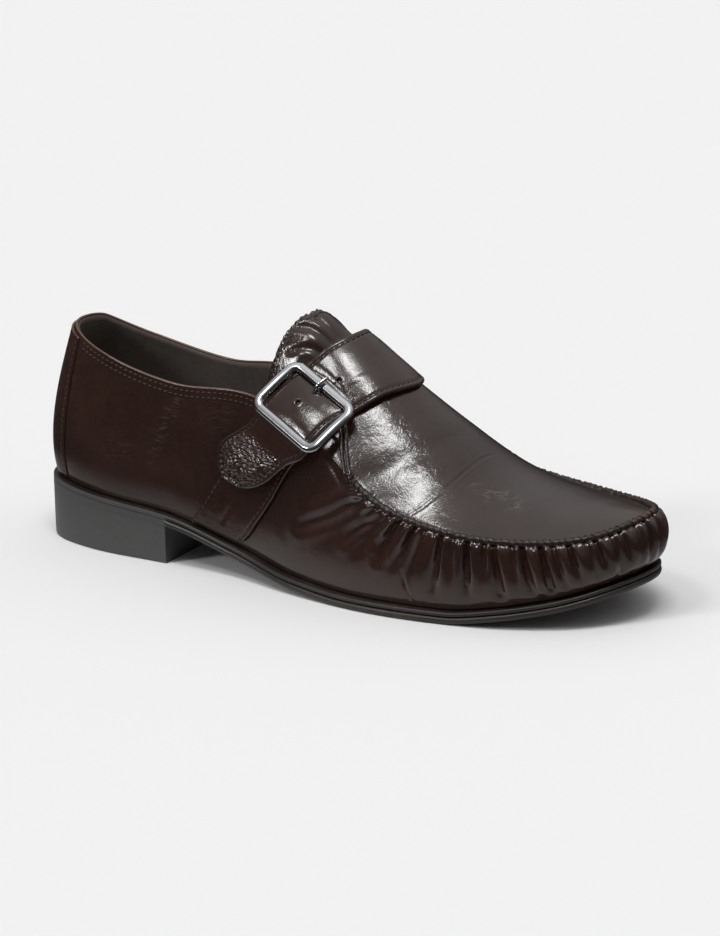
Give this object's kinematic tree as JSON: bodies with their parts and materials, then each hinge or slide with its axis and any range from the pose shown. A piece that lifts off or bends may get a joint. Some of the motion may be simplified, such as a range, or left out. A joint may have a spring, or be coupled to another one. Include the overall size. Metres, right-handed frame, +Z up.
{
  "type": "moccasin-toe shoe",
  "caption": "Leather right shoe with a moccasin toe seam, a buckled strap over the instep, a tongue, a thin welted sole and a low block heel.",
  "frame": {"origin": "bottom centre of the shoe's bounding box, on the floor that heel and forefoot stand on", "axes": "+X from heel to toe, +Y to the inner side of the right foot, +Z up"},
  "size_m": [0.3012, 0.1072, 0.1187],
  "materials": {
    "upper_leather": "polished dark brown leather with fine creases",
    "strap_leather": "polished dark brown leather",
    "lining_leather": "matte near-black lining leather",
    "sole_leather": "satin dark sole leather",
    "welt_leather": "satin dark brown edge dressing",
    "heel_rubber": "matte charcoal",
    "buckle_metal": "polished silver"
  },
  "bodies": {
    "root": {"outsole": "sole_leather", "welt": "welt_leather", "heel": "heel_rubber", "insole": "lining_leather", "upper": "upper_leather", "tongue": "upper_leather", "strap": "strap_leather", "lateral_band": "strap_leather", "backstay": "upper_leather", "buckle": "buckle_metal", "buckle_prong": "buckle_metal"}
  },
  "joints": []
}
